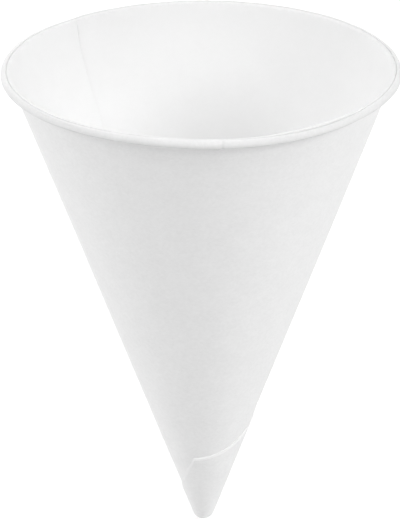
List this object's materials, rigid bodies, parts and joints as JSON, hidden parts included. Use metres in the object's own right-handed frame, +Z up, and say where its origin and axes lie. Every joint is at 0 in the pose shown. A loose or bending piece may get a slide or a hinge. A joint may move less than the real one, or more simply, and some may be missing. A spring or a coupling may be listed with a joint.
{
  "type": "cone paper cup",
  "caption": "Plain white cone-shaped paper drinking cup with a rolled rim and a wound, lapped seam, lying on its side.",
  "frame": {"origin": "on the table under the middle of the cup's bounding box, with the cup lying on its side", "axes": "+Z up from the table, +Y along the table from the tip towards the mouth, +X across the mouth. The cup's own axis lies in the YZ plane and rises about 21 degrees towards the mouth"},
  "size_m": [0.0712, 0.0958, 0.066],
  "materials": {
    "paper": "matt, uncoated, fine fibre mottle"
  },
  "bodies": {
    "root": {"paper_cone": "paper"}
  },
  "joints": []
}
